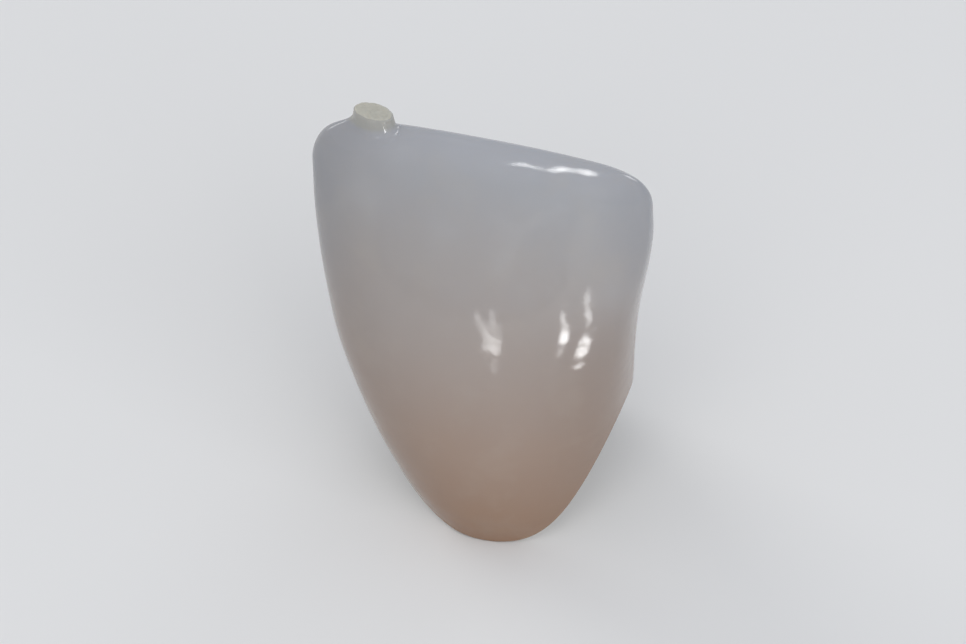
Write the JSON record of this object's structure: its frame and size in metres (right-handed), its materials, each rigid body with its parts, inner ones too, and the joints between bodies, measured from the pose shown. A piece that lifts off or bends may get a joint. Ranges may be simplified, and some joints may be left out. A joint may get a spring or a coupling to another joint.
{
  "type": "ceramic dental crown",
  "caption": "Thin ceramic cap shaped as an upper lateral incisor, hollow underneath to fit over a prepared tooth, with a scalloped margin.",
  "frame": {"origin": "middle of the neck in plan, level with the lowest point of the labial margin", "axes": "+Z from the margin to the incisal edge, -Y labial, +Y lingual, +X mesial, -X distal"},
  "size_m": [0.0073, 0.0056, 0.0096],
  "materials": {
    "glazed_zirconia": "gloss"
  },
  "bodies": {
    "root": {"crown": "glazed_zirconia"}
  },
  "joints": []
}
